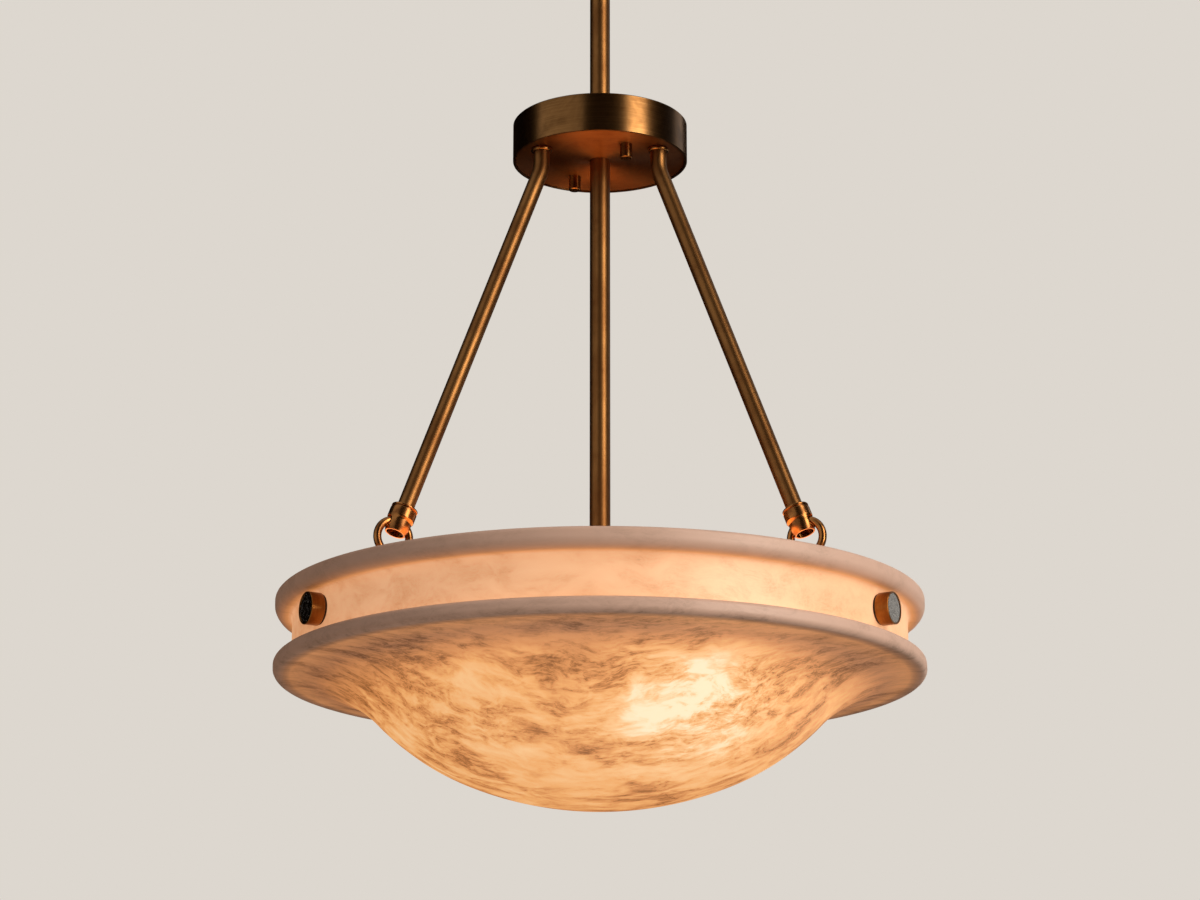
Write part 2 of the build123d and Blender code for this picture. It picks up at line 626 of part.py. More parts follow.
def bulb_glass():
    """A small pear bulb: straight neck, cone tangent to the round end."""
    ball, neck = bulb_d / 2, cap_shell_d / 2 - bulb_neck_inset
    centre = bulb_length - ball
    reach = centre - bulb_neck_length
    lean = asin(ball / hypot(reach, neck)) - atan2(neck, reach)
    touch = (ball * cos(lean), centre - ball * sin(lean))
    profile = make_face([
        *Polyline((0, 0), (neck, 0), (neck, bulb_neck_length), touch).edges(),
        *CenterArc((0, centre), ball, -degrees(lean), 90 + degrees(lean)).edges(),
        *Line((0, bulb_length), (0, 0)).edges()])
    return revolve(Plane.XZ * rounded(profile, (neck, bulb_neck_length, bulb_neck_round)), Axis.Z)


def lamps():
    tip_x = holder_back_r + holder_back + seat_gap
    glass_x = tip_x + cap_tip_length + cap_shell_length
    cap, glass = on_radius(tip_x, lamp_z, lamp_cap()), on_radius(glass_x, lamp_z, bulb_glass())
    for side, angle in lamp_angles.items():
        keep(f"lampholder_{side}", around(angle, lampholder()))
        keep(f"lamp_cap_{side}", around(angle, cap))
        keep(f"bulb_{side}", around(angle, glass))


ceiling_fixing()
canopy()
swivel()
stems()
hub()
arms()
bowl_and_fixings()
cluster()
lamps()

os.makedirs("parts", exist_ok=True)
for name, piece in made.items():
    export_step(piece, f"parts/{name}.step")
print(f"{len(made)} nodes, arms lean {degrees(arm_tilt):.1f} degrees, top of the bowl at z {bowl_z:.1f}")
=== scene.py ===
import json
import math

import bmesh
import bpy
from mathutils import Euler, Matrix, Vector, noise

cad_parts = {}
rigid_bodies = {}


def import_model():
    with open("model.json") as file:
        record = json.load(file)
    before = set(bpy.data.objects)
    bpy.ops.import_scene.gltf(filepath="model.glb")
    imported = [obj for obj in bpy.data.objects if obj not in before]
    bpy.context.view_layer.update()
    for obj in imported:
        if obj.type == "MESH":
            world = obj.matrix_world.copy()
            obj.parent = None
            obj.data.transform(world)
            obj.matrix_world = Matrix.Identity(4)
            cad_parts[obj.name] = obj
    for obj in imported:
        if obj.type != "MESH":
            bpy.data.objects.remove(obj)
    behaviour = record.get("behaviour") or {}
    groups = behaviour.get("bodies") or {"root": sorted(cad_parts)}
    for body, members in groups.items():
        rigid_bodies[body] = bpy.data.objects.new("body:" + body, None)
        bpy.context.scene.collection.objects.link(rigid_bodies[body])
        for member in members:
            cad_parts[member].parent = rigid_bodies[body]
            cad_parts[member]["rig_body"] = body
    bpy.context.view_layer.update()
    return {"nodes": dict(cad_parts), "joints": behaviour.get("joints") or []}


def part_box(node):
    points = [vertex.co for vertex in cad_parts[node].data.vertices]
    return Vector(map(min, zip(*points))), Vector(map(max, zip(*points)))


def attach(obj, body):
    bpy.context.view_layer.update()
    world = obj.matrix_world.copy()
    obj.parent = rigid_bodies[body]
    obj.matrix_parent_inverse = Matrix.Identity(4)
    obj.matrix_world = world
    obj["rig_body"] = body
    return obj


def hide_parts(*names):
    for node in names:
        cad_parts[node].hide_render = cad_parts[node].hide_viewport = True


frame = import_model()
nodes = frame["nodes"]
joints = {joint["name"]: joint for joint in frame["joints"]}
sides = ("left", "right", "rear")
lampSides = ("front", "left", "rear")
mm = 0.001


# colour and node helpers
def linear(hexColour, alpha=1.0):
    # an sRGB hex colour as Blender's linear one
    values = [int(hexColour[i:i + 2], 16) / 255 for i in (1, 3, 5)]
    return (*[v / 12.92 if v <= 0.04045 else ((v + 0.055) / 1.055) ** 2.4 for v in values], alpha)


def addNode(tree, kind, settings=None, links=None, stops=None):
    # one node, its values, the wires that come into it and, on a ramp, its colour stops
    node = tree.nodes.new(kind)
    for key, value in (settings or {}).items():
        if isinstance(key, str) and key in node.bl_rna.properties:
            setattr(node, key, value)
        else:
            node.inputs[key].default_value = value
    for key, (source, output) in (links or {}).items():
        tree.links.new(source.outputs[output], node.inputs[key])
    for i, (place, colour) in enumerate(stops or []):
        ramp = node.color_ramp.elements
        stop = ramp[i] if i < 2 else ramp.new(place)
        stop.position, stop.color = place, colour
    return node


def newMaterial(name):
    material = bpy.data.materials.new(name)
    material.use_nodes = True
    material.node_tree.nodes.clear()
    return material, material.node_tree


def shade(tree, settings, links):
    shader = addNode(tree, "ShaderNodeBsdfPrincipled", settings, links)
    addNode(tree, "ShaderNodeOutputMaterial", links={"Surface": (shader, "BSDF")})


def perMetre(sizeMm):
    return 1000 / sizeMm          # a noise of this scale has features about sizeMm across


def turnTo(axis):
    return Vector(axis).to_track_quat("Z", "Y").to_euler()


def localCoords(tree, centre=(0, 0, 0), axis=(0, 0, 1)):
    # the piece's own coordinates, with Z along the given axis
    coords = addNode(tree, "ShaderNodeTexCoord")
    return addNode(tree, "ShaderNodeMapping",
                   {"vector_type": "TEXTURE", "Location": centre, "Rotation": turnTo(axis)},
                   {"Vector": (coords, "Object")})


# mesh helpers
def roundedOutline(corners, steps):
    # (radius, height) points in mm from corners of (radius, height, rounding)
    points = []
    for i, (r, z, rounding) in enumerate(corners):
        here = Vector((r, z))
        if rounding == 0:
            points.append(here)
            continue
        before = (Vector(corners[i - 1][:2]) - here).normalized()
        after = (Vector(corners[(i + 1) % len(corners)][:2]) - here).normalized()
        half = before.angle(after) / 2
        middle = here + (before + after).normalized() * rounding / math.sin(half)
        start = here + before * rounding / math.tan(half) - middle
        end = here + after * rounding / math.tan(half) - middle
        for k in range(steps + 1):
            spoke = start.lerp(end, k / steps)
            points.append(middle + spoke.normalized() * rounding)
    return points


def arcPoints(centre, radius, fromDegrees, toDegrees, steps):
    # points on an arc, with 0 degrees outwards and 90 upwards
    step = (toDegrees - fromDegrees) / steps
    turns = [math.radians(fromDegrees + step * k) for k in range(steps + 1)]
    return [Vector((centre[0] + radius * math.cos(turn), centre[1] + radius * math.sin(turn)))
            for turn in turns]


def divided(points, longest):
    # the same outline with its long straight runs cut into shorter ones
    out = [points[0]]
    for here, ahead in zip(points, points[1:]):
        parts = max(1, math.ceil((ahead - here).length / longest))
        out += [here.lerp(ahead, k / parts) for k in range(1, parts + 1)]
    return out


def turnedMesh(points, segments, lift=None):
    # a lathe turn about Z, in millimetres, from axis to axis; lift moves each point outwards
    made = bmesh.new()
    rings = []
    for point in points:
        ring = []
        for k in range(1 if point.x < 0.001 else segments):
            turn = 2 * math.pi * k / segments
            out = Vector((math.cos(turn), math.sin(turn), 0))
            place = out * point.x + Vector((0, 0, point.y))
            if lift:
                place += out * lift(place)
            ring.append(made.verts.new(place * mm))
        rings.append(ring)
    for low, high in zip(rings, rings[1:]):
        for k in range(segments):
            ahead = (k + 1) % segments
            corners = [low[k % len(low)], low[ahead % len(low)],
                       high[ahead % len(high)], high[k % len(high)]]
            made.faces.new(list(dict.fromkeys(corners)))
    bmesh.ops.recalc_face_normals(made, faces=made.faces)
    return made


def newPiece(name, made, body, material, node, creaseDegrees=35):
    # the finished mesh as a piece that stands for a CAD node and moves with its body
    mesh = bpy.data.meshes.new(name)
    made.to_mesh(mesh)
    made.free()
    mesh.shade_smooth()
    mesh.set_sharp_from_angle(angle=math.radians(creaseDegrees))
    mesh.materials.append(material)
    piece = bpy.data.objects.new(name, mesh)
    bpy.context.scene.collection.objects.link(piece)
    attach(piece, body)
    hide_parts(node)
    return piece


def bodyOf(name):
    return nodes[name]["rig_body"]


print("stage: frame loaded,", len(nodes), "CAD nodes")

# metals
agedBrass = {
    "metal": "#7d5a35",           # aged brass, brushed and then darkened
    "patina": "#573b1f",          # browner where the darkening stayed in
    "rubbed": "#9d774b",          # rubbed back by the brushing
    "roughness": (0.25, 0.35),
    "brushLineMm": 0.55,          # real brush lines are 0.1 mm, drawn as coarse as they need to show
    "brushRunMm": 46,
    "patinaMm": 38,
    "rubbing": 0.55,              # how much of the rubbed colour the brightest lines take
    "lineDepth": 0.14,
    "stretch": 0.7,               # how much the brushing draws the highlights out across its lines
}
# tube is drawn through a die and only wiped with a fine pad, so it is smoother and softer
tubeBrass = {**agedBrass, "metal": "#7f5932", "patina": "#684424", "roughness": (0.34, 0.40),
             "brushLineMm": 2.4, "rubbing": 0.14, "lineDepth": 0.015, "stretch": 0.35}


def agedBrassBrushed(name, centre=(0, 0, 0), axis=(0, 0, 1), around=True, tone=agedBrass):
    # aged brass, brushed around its axis or along it: soft brown-gold metal with fine lines that
    # draw the highlights out across the brushing
    material, tree = newMaterial(name)
    local = localCoords(tree, centre, axis)
    fine, run = perMetre(tone["brushLineMm"]), perMetre(tone["brushRunMm"])
    if around:
        flat = addNode(tree, "ShaderNodeVectorMath", {"operation": "MULTIPLY", 1: (1, 1, 0)},
                       {0: (local, "Vector")})
        reach = addNode(tree, "ShaderNodeVectorMath", {"operation": "LENGTH"}, {0: (flat, "Vector")})
        out = addNode(tree, "ShaderNodeVectorMath", {"operation": "NORMALIZE"}, {0: (flat, "Vector")})
        outRun = addNode(tree, "ShaderNodeVectorMath", {"operation": "SCALE", "Scale": 1.6},
                         {0: (out, "Vector")})
        level = addNode(tree, "ShaderNodeVectorMath", {"operation": "MULTIPLY", 1: (0, 0, fine)},
                        {0: (local, "Vector")})
        place = addNode(tree, "ShaderNodeVectorMath", {"operation": "ADD"},
                        {0: (outRun, "Vector"), 1: (level, "Vector")})
        width = addNode(tree, "ShaderNodeMath", {"operation": "MULTIPLY", 1: fine},
                        {0: (reach, "Value")})
        lines = addNode(tree, "ShaderNodeTexNoise",
                        {"noise_dimensions": "4D", "Scale": 1.0, "Detail": 3.0, "Roughness": 0.6},
                        {"Vector": (place, "Vector"), "W": (width, "Value")})
    else:
        place = addNode(tree, "ShaderNodeVectorMath", {"operation": "MULTIPLY", 1: (fine, fine, run)},
                        {0: (local, "Vector")})
        lines = addNode(tree, "ShaderNodeTexNoise", {"Scale": 1.0, "Detail": 3.0, "Roughness": 0.6},
                        {"Vector": (place, "Vector")})
    clouds = addNode(tree, "ShaderNodeTexNoise", {"Scale": perMetre(tone["patinaMm"]), "Detail": 5.0,
                                                  "Roughness": 0.62, "Distortion": 0.4},
                     {"Vector": (local, "Vector")})
    aged = addNode(tree, "ShaderNodeValToRGB", links={"Fac": (clouds, "Fac")},
                   stops=[(0.36, linear(tone["patina"])), (0.60, linear(tone["metal"]))])
    rub = addNode(tree, "ShaderNodeMapRange",
                  {"From Min": 0.50, "From Max": 0.80, "To Max": tone["rubbing"]},
                  {"Value": (lines, "Fac")})
    colour = addNode(tree, "ShaderNodeMix", {"data_type": "RGBA", 7: linear(tone["rubbed"])},
                     {0: (rub, "Result"), 6: (aged, "Color")})
    low, high = tone["roughness"]
    rough = addNode(tree, "ShaderNodeMapRange",
                    {"From Min": 0.3, "From Max": 0.7, "To Min": high, "To Max": low},
                    {"Value": (clouds, "Fac")})
    bump = addNode(tree, "ShaderNodeBump", {"Strength": tone["lineDepth"], "Distance": 0.1 * mm},
                   {"Height": (lines, "Fac")})
    # the way the brush lines run, and across them the highlights spread
    if around:
        ahead = addNode(tree, "ShaderNodeVectorMath", {"operation": "CROSS_PRODUCT", 0: (0, 0, 1)},
                        {1: (flat, "Vector")})
        turned = addNode(tree, "ShaderNodeMapping", {"vector_type": "VECTOR", "Rotation": turnTo(axis)},
                         {"Vector": (ahead, "Vector")})
        grain = addNode(tree, "ShaderNodeVectorTransform",
                        {"convert_from": "OBJECT", "convert_to": "WORLD"},
                        {"Vector": (turned, "Vector")})
    else:
        grain = addNode(tree, "ShaderNodeVectorTransform",
                        {"convert_from": "OBJECT", "convert_to": "WORLD", "Vector": tuple(axis)})
    surface = addNode(tree, "ShaderNodeNewGeometry")
    across = addNode(tree, "ShaderNodeVectorMath", {"operation": "CROSS_PRODUCT"},
                     {0: (grain, "Vector"), 1: (surface, "Normal")})
    shade(tree, {"Metallic": 1.0, "Anisotropic": tone["stretch"]},
          {"Base Color": (colour, 2), "Roughness": (rough, "Result"), "Normal": (bump, "Normal"),
           "Tangent": (across, "Vector")})
    return material


polishedBrass = {
    "metal": "#a5784a", "shade": "#75512c", "roughness": (0.22, 0.31), "wearMm": 9,
    "scratchMm": 0.8,             # real polishing marks are 0.05 mm, too fine to show
}


def brassPolished(name, tone=polishedBrass):
    # turned brass, polished by hand: clear warm reflections, a little duller where it was handled
    material, tree = newMaterial(name)
    coords = addNode(tree, "ShaderNodeTexCoord")
    wear = addNode(tree, "ShaderNodeTexNoise", {"Scale": perMetre(tone["wearMm"]), "Detail": 4.0},
                   {"Vector": (coords, "Object")})
    scratches = addNode(tree, "ShaderNodeTexNoise",
                        {"Scale": perMetre(tone["scratchMm"]), "Detail": 2.0},
                        {"Vector": (coords, "Object")})
    colour = addNode(tree, "ShaderNodeValToRGB", links={"Fac": (wear, "Fac")},
                     stops=[(0.36, linear(tone["shade"])), (0.60, linear(tone["metal"]))])
    low, high = tone["roughness"]
    rough = addNode(tree, "ShaderNodeMapRange",
                    {"From Min": 0.35, "From Max": 0.65, "To Min": high, "To Max": low},
                    {"Value": (wear, "Fac")})
    bump = addNode(tree, "ShaderNodeBump", {"Strength": 0.015, "Distance": 0.05 * mm},
                   {"Height": (scratches, "Fac")})
    shade(tree, {"Metallic": 1.0}, {"Base Color": (colour, "Color"), "Roughness": (rough, "Result"),
                                    "Normal": (bump, "Normal")})
    return material


mottledSteel = {"bright": "#c2c0bd", "dull": "#7d7b79", "roughness": (0.12, 0.30), "mottleMm": 2.6}


def steelPolishedMottled(name, tone=mottledSteel):
    # stainless steel disc, polished unevenly: a grey mirror with cloudy mottling
    material, tree = newMaterial(name)
    coords = addNode(tree, "ShaderNodeTexCoord")
    mottle = addNode(tree, "ShaderNodeTexNoise", {"Scale": perMetre(tone["mottleMm"]), "Detail": 3.0,
                                                  "Roughness": 0.55, "Distortion": 0.8},
                     {"Vector": (coords, "Object")})
    colour = addNode(tree, "ShaderNodeValToRGB", links={"Fac": (mottle, "Fac")},
                     stops=[(0.38, linear(tone["dull"])), (0.60, linear(tone["bright"]))])
    low, high = tone["roughness"]
    rough = addNode(tree, "ShaderNodeMapRange",
                    {"From Min": 0.35, "From Max": 0.65, "To Min": low, "To Max": high},
                    {"Value": (mottle, "Fac")})
    bump = addNode(tree, "ShaderNodeBump", {"Strength": 0.06, "Distance": 0.3 * mm},
                   {"Height": (mottle, "Fac")})
    shade(tree, {"Metallic": 1.0}, {"Base Color": (colour, "Color"), "Roughness": (rough, "Result"),
                                    "Normal": (bump, "Normal")})
    return material


zincSteel = {"pale": "#b9bcbd", "grey": "#8d9091", "roughness": (0.28, 0.45), "spangleMm": 5}


def steelZincPlated(name, tone=zincSteel):
    # pressed steel, zinc plated: cool pale grey with faint crystal patches
    material, tree = newMaterial(name)
    coords = addNode(tree, "ShaderNodeTexCoord")
    spangle = addNode(tree, "ShaderNodeTexVoronoi", {"Scale": perMetre(tone["spangleMm"])},
                      {"Vector": (coords, "Object")})
    film = addNode(tree, "ShaderNodeTexNoise",
                   {"Scale": perMetre(3 * tone["spangleMm"]), "Detail": 4.0},
                   {"Vector": (coords, "Object")})
    patch = addNode(tree, "ShaderNodeSeparateColor", links={"Color": (spangle, "Color")})
    blend = addNode(tree, "ShaderNodeMath", {"operation": "MULTIPLY_ADD", 1: 0.35},
                    {0: (patch, "Red"), 2: (film, "Fac")})
    colour = addNode(tree, "ShaderNodeValToRGB", links={"Fac": (blend, "Value")},
                     stops=[(0.40, linear(tone["grey"])), (0.85, linear(tone["pale"]))])
    low, high = tone["roughness"]
    rough = addNode(tree, "ShaderNodeMapRange",
                    {"From Min": 0.4, "From Max": 0.9, "To Min": high, "To Max": low},
                    {"Value": (blend, "Value")})
    shade(tree, {"Metallic": 1.0}, {"Base Color": (colour, "Color"), "Roughness": (rough, "Result")})
    return material


# the other materials of the fittings
gasketFibre = {"dark": "#2a1c12", "light": "#4a3322",
               "fibreMm": 0.8}    # bundles of fibres; a single one is too fine to show


def fibreGasket(name, tone=gasketFibre):
    # pressed fibre washer: dull dark brown with short fibres
    material, tree = newMaterial(name)
    coords = addNode(tree, "ShaderNodeTexCoord")
    fibres = addNode(tree, "ShaderNodeTexNoise",
                     {"Scale": perMetre(tone["fibreMm"]), "Detail": 3.0, "Distortion": 1.5},
                     {"Vector": (coords, "Object")})
    colour = addNode(tree, "ShaderNodeValToRGB", links={"Fac": (fibres, "Fac")},
                     stops=[(0.40, linear(tone["dark"])), (0.70, linear(tone["light"]))])
    bump = addNode(tree, "ShaderNodeBump", {"Strength": 0.4, "Distance": 0.15 * mm},
                   {"Height": (fibres, "Fac")})
    shade(tree, {"Roughness": 0.85}, {"Base Color": (colour, "Color"), "Normal": (bump, "Normal")})
    return material


phenolic = {"dark": "#17120f", "light": "#2c211a", "roughness": 0.32,
            "fillerMm": 1.2}      # real specks are 0.2 mm, drawn as coarse as they need to show


def phenolicMoulded(name, tone=phenolic):
    # moulded phenolic resin: glossy near-black brown with a faint filler speckle
    material, tree = newMaterial(name)
    coords = addNode(tree, "ShaderNodeTexCoord")
    filler = addNode(tree, "ShaderNodeTexNoise", {"Scale": perMetre(tone["fillerMm"]), "Detail": 2.0},
                     {"Vector": (coords, "Object")})
    colour = addNode(tree, "ShaderNodeValToRGB", links={"Fac": (filler, "Fac")},
                     stops=[(0.45, linear(tone["dark"])), (0.72, linear(tone["light"]))])
    bump = addNode(tree, "ShaderNodeBump", {"Strength": 0.05, "Distance": 0.1 * mm},
                   {"Height": (filler, "Fac")})
    shade(tree, {"Roughness": tone["roughness"]},
          {"Base Color": (colour, "Color"), "Normal": (bump, "Normal")})
    return material


opal = {
    "glass": "#fff1dc", "lit": "#ffe4bd", "edge": "#ffbd78", "strength": 1.0,
    "frostMm": 0.7,                   # real frosting is under 0.1 mm, drawn coarser so that it shows
    "neckMm": -35, "crownMm": 25,     # along the lamp from its middle, warmest at the neck
}


def opalGlass(name, centre, axis, tone=opal):
    # blown glass, frosted inside: an even milky glow, warmer towards the neck
    material, tree = newMaterial(name)
    local = localCoords(tree, centre, axis)
    split = addNode(tree, "ShaderNodeSeparateXYZ", links={"Vector": (local, "Vector")})
    along = addNode(tree, "ShaderNodeMapRange",
                    {"From Min": tone["neckMm"] * mm, "From Max": tone["crownMm"] * mm},
                    {"Value": (split, "Z")})
    glow = addNode(tree, "ShaderNodeValToRGB", links={"Fac": (along, "Result")},
                   stops=[(0.0, linear(tone["edge"])), (0.55, linear(tone["lit"]))])
    frost = addNode(tree, "ShaderNodeTexNoise", {"Scale": perMetre(tone["frostMm"]), "Detail": 2.0},
                    {"Vector": (local, "Vector")})
    bump = addNode(tree, "ShaderNodeBump", {"Strength": 0.05, "Distance": 0.1 * mm},
                   {"Height": (frost, "Fac")})
    shade(tree, {"Base Color": linear(tone["glass"]), "Roughness": 0.28, "IOR": 1.52,
                 "Emission Strength": tone["strength"]},
          {"Emission Color": (glow, "Color"), "Normal": (bump, "Normal")})
    return material


# stone
stone = {
    "pale": "#bfa083",            # honed alabaster, painted warm and creamy where light soaks through it
    "rim": "#c9aea2",             # painted shade: greyer and pinker on the flanges and cove, where the stone is thick and unlit
    "wisp": "#7d6450",            # brown-grey clay wisps in the stone
    # painted light through the stone: brown-orange through much stone, golden through the wall, cream
    # at a lamp
    "litStops": [(0.0, "#000000"), (0.15, "#6a3609"), (0.30, "#9c5a20"), (0.45, "#c3793b"),
                 (0.60, "#de9a56"), (0.80, "#e6b57e"), (1.0, "#ecdab8")],
    "neckTint": (0.94, 1.16, 2.15, 1.0),       # the neck's even wall lets whiter light through
    "glow": 1.0,
    "cloudMm": (92, 50, 40),      # the wisps run from side to side, as the bedding of the block does
    "patchMm": (30, 13, 11),
    "fibreMm": (12, 2.2, 1.9),
    "furMm": (4.5, 0.9, 0.8),     # the frayed edges of the strands
    "warpMm": (70, 16),           # bends in the bedding, and how far each moves it
    "warpReachMm": (15, 2.6),
    "grainMm": 0.9,               # real grain is about 0.2 mm, drawn coarser so that the honing shows
    "wispHold": 0.56,             # how much light the densest wisp holds back
    "wallLight": 0.50,            # light that every part of the wall gets
    "lampReachMm": 82,            # distance from a lamp at which it adds lampLight to that
    "lampLight": 0.20,
    "lampFall": 3.4,              # how fast that falls away with distance
    # painted hot spots where the lamps shine through brightest: place on the stone and reach in mm, and
    # how much they add
    "brightest": [((70, -153, -694), 64, 0.42), ((-90, -143, -694), 62, 0.13),
                  ((38, 145, -694), 60, 0.30)],
    "neckEndsZ": -650,            # over these heights clean stone turns into the belly's wisps
    "bellyStartsZ": -660,
    "coveStartsR": 175,           # over these radii the wall thickens towards the lower flange
    "coveEndsR": 246,
    "flangeStartsR": 240.5,       # the flanges' grey-pink is full at flangeGreyR
    "flangeGreyR": 250,
    "flangeEndsR": 254,
    "flangeFadeMm": 7.0,          # stone past the neck's face that cuts the light to a third
    "coveFade": 0.22,             # light that is left where the cove thickens into the lower flange
}


def lampPoint(side):
    low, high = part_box("bulb_" + side)
    return (low + high) / 2


def alabasterHoned(name, tone=stone):
    # alabaster, turned and honed, lit from inside: the lamps' light through the stone is painted as a
    # glow, golden where the wall is thin, with fine brown wisps in cloudy bedding, and grey-pink flange
    # rims painted as unlit
    material, tree = newMaterial(name)
    coords = addNode(tree, "ShaderNodeTexCoord")
    bent = (coords, "Object")
    for sizeMm, reachMm in zip(tone["warpMm"], tone["warpReachMm"]):
        warp = addNode(tree, "ShaderNodeTexNoise", {"Scale": perMetre(sizeMm), "Detail": 2.0},
                       {"Vector": bent})
        half = reachMm * mm
        reach = addNode(tree, "ShaderNodeVectorMath",
                        {"operation": "MULTIPLY_ADD", 1: (2 * half,) * 3, 2: (-half,) * 3},
                        {0: (warp, "Color")})
        moved = addNode(tree, "ShaderNodeVectorMath", {"operation": "ADD"},
                        {0: bent, 1: (reach, "Vector")})
        bent = (moved, "Vector")

    def stretched(sizesMm, settings):
        scales = tuple(perMetre(size) for size in sizesMm)
        scaled = addNode(tree, "ShaderNodeVectorMath", {"operation": "MULTIPLY", 1: scales}, {0: bent})
        return addNode(tree, "ShaderNodeTexNoise", {"Scale": 1.0, **settings},
                       {"Vector": (scaled, "Vector")})

    def ranged(source, low, high, toLow=0.0, toHigh=1.0, curve="SMOOTHSTEP"):
        return addNode(tree, "ShaderNodeMapRange",
                       {"interpolation_type": curve, "From Min": low, "From Max": high,
                        "To Min": toLow, "To Max": toHigh}, {"Value": source})

    def product(first, second):
        return addNode(tree, "ShaderNodeMath", {"operation": "MULTIPLY"}, {0: first, 1: second})

    clouds = stretched(tone["cloudMm"], {"Detail": 4.0, "Roughness": 0.6, "Distortion": 0.5})
    patches = stretched(tone["patchMm"], {"Detail": 5.0, "Roughness": 0.65, "Distortion": 0.5})
    fibres = stretched(tone["fibreMm"], {"Detail": 6.0, "Roughness": 0.70, "Distortion": 0.5})
    fur = stretched(tone["furMm"], {"Detail": 4.0, "Roughness": 0.7, "Distortion": 0.6})

    # height and radius on the bowl tell the belly and cove from the neck and flanges
    split = addNode(tree, "ShaderNodeSeparateXYZ", links={"Vector": (coords, "Object")})
    flat = addNode(tree, "ShaderNodeCombineXYZ", links={"X": (split, "X"), "Y": (split, "Y")})
    radius = addNode(tree, "ShaderNodeVectorMath", {"operation": "LENGTH"}, {0: (flat, "Vector")})
    belly = ranged((split, "Z"), tone["neckEndsZ"] * mm, tone["bellyStartsZ"] * mm)
    thickening = ranged((radius, "Value"), tone["coveStartsR"] * mm, tone["coveEndsR"] * mm)
    cove = product((thickening, "Result"), (belly, "Result"))
    shown = ranged((belly, "Result"), 0, 1, 0.25, 1.0, "LINEAR")       # the neck is nearly clean stone

    cloudy = ranged((clouds, "Fac"), 0.38, 0.60, 0.18, 1.15)
    patchy = ranged((patches, "Fac"), 0.38, 0.62, 0.25, 1.15)
    strands = ranged((fibres, "Fac"), 0.34, 0.67, 0.30, 1.0)
    hairs = ranged((fur, "Fac"), 0.35, 0.67, 0.68, 1.08)
    coveClouds = addNode(tree, "ShaderNodeMath", {"operation": "MULTIPLY_ADD", 1: 0.35},
                         {0: (cove, "Value"), 2: (cloudy, "Result")})
    bed = product((coveClouds, "Value"), (patchy, "Result"))
    haired = product((strands, "Result"), (hairs, "Result"))
    dense = product((bed, "Value"), (haired, "Value"))
    wisps = product((dense, "Value"), (shown, "Result"))
    wisps.use_clamp = True

    # painted light from the three lamps, falling off with distance
    total = None
    for side in lampSides:
        away = addNode(tree, "ShaderNodeVectorMath",
                       {"operation": "DISTANCE", 1: tuple(lampPoint(side))}, {0: (coords, "Object")})
        ratio = addNode(tree, "ShaderNodeMath", {"operation": "DIVIDE", 0: tone["lampReachMm"] * mm},
                        {1: (away, "Value")})
        power = addNode(tree, "ShaderNodeMath", {"operation": "POWER", 1: tone["lampFall"]},
                        {0: (ratio, "Value")})
        total = power if total is None else addNode(tree, "ShaderNodeMath", {"operation": "ADD"},
                                                    {0: (total, "Value"), 1: (power, "Value")})
    wall = addNode(tree, "ShaderNodeMath",
                   {"operation": "MULTIPLY_ADD", 1: tone["lampLight"], 2: tone["wallLight"]},
                   {0: (total, "Value")})
    for place, reachMm, added in tone["brightest"]:
        away = addNode(tree, "ShaderNodeVectorMath",
                       {"operation": "DISTANCE", 1: tuple(Vector(place) * mm)}, {0: bent})
        # a smooth step is half way down at half its width, so it is drawn nearly twice as wide
        near = ranged((away, "Value"), 0.0, 1.9 * reachMm * mm, added, 0.0)
        wall = addNode(tree, "ShaderNodeMath", {"operation": "ADD"},
                       {0: (wall, "Value"), 1: (near, "Result")})
    # painted shade: the flanges stand out past the lit neck, and the cove thickens towards its flange,
    # so both fade
    flangeStart, flangeEnd = tone["flangeStartsR"], tone["flangeEndsR"]
    extra = ranged((radius, "Value"), flangeStart * mm, flangeEnd * mm,
                   0.0, (flangeEnd - flangeStart) / tone["flangeFadeMm"], "LINEAR")
    flange = addNode(tree, "ShaderNodeMath", {"operation": "POWER", 0: 1 / 3}, {1: (extra, "Result")})
    coveLight = ranged((cove, "Value"), 0, 1, 1.0, tone["coveFade"], "LINEAR")
    fade = product((flange, "Value"), (coveLight, "Result"))
    lit = product((wall, "Value"), (fade, "Value"))
    milk = ranged((patches, "Fac"), 0.30, 0.70, 0.12, -0.12, "LINEAR")
    banks = ranged((clouds, "Fac"), 0.34, 0.66, 0.14, -0.17, "LINEAR")
    veil = addNode(tree, "ShaderNodeMath", {"operation": "ADD"},
                   {0: (milk, "Result"), 1: (banks, "Result")})
    haze = addNode(tree, "ShaderNodeMath", {"operation": "MULTIPLY_ADD", 2: 1.0},
                   {0: (veil, "Value"), 1: (shown, "Result")})
    hazy = product((lit, "Value"), (haze, "Value"))
    held = addNode(tree, "ShaderNodeMath", {"operation": "MULTIPLY_ADD", 1: -tone["wispHold"], 2: 1.0},
                   {0: (wisps, "Value")})
    through = product((hazy, "Value"), (held, "Value"))
    glowColour = addNode(tree, "ShaderNodeValToRGB", links={"Fac": (through, "Value")},
                         stops=[(place, linear(colour)) for place, colour in tone["litStops"]])
    ofNeck = ranged((belly, "Result"), 0, 1, 1.0, 0.0, "LINEAR")
    glowHue = addNode(tree, "ShaderNodeMix",
                      {"data_type": "RGBA", "blend_type": "MULTIPLY", 7: tone["neckTint"]},
                      {0: (ofNeck, "Result"), 6: (glowColour, "Color")})
